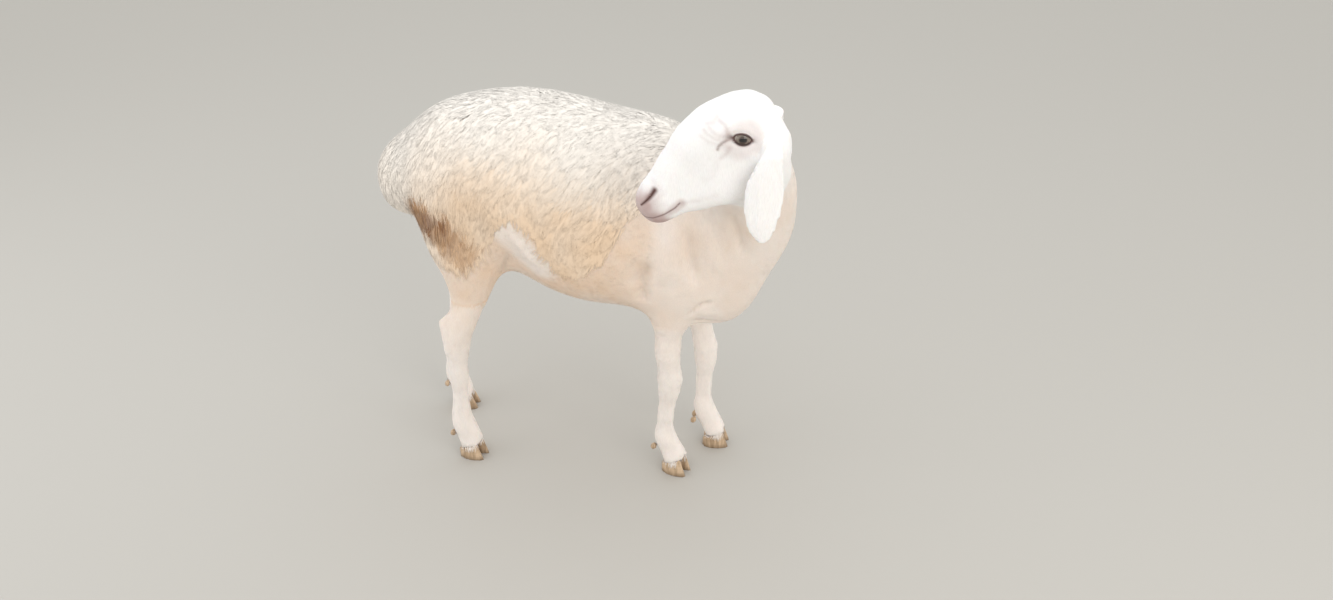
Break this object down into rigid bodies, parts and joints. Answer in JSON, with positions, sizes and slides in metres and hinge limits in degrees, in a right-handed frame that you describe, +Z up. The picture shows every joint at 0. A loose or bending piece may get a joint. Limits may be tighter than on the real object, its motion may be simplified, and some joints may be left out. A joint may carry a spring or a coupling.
{
  "type": "sheep",
  "caption": "Standing long-eared, Roman-nosed fat-tailed sheep with a soft fleece, looking back over its right shoulder",
  "frame": {"origin": "centre of the bounding box, on the ground under the soles", "axes": "+X towards the chest, +Y to the animal's left, +Z up; the head is turned back towards -X, on the animal's right"},
  "size_m": [0.7886, 0.4256, 0.8974],
  "materials": {
    "wool": "soft long fleece",
    "hair": "short matte hair",
    "horn": "dull ribbed hoof horn",
    "eye": "wet and clear"
  },
  "bodies": {
    "root": {"ear_left": "hair", "ear_right": "hair", "eye_left": "eye", "eye_right": "eye", "fore_left_cannon": "hair", "fore_left_claw_inner": "horn", "fore_left_claw_outer": "horn", "fore_left_dewclaw_inner": "horn", "fore_left_dewclaw_outer": "horn", "fore_left_pastern": "hair", "fore_left_upper": "hair", "fore_right_cannon": "hair", "fore_right_claw_inner": "horn", "fore_right_claw_outer": "horn", "fore_right_dewclaw_inner": "horn", "fore_right_dewclaw_outer": "horn", "fore_right_pastern": "hair", "fore_right_upper": "hair", "head": "hair", "hind_left_cannon": "hair", "hind_left_claw_inner": "horn", "hind_left_claw_outer": "horn", "hind_left_dewclaw_inner": "horn", "hind_left_dewclaw_outer": "horn", "hind_left_pastern": "hair", "hind_left_upper": "hair", "hind_right_cannon": "hair", "hind_right_claw_inner": "horn", "hind_right_claw_outer": "horn", "hind_right_dewclaw_inner": "horn", "hind_right_dewclaw_outer": "horn", "hind_right_pastern": "hair", "hind_right_upper": "hair", "neck": "hair", "tail": "wool", "trunk": "wool"}
  },
  "joints": []
}
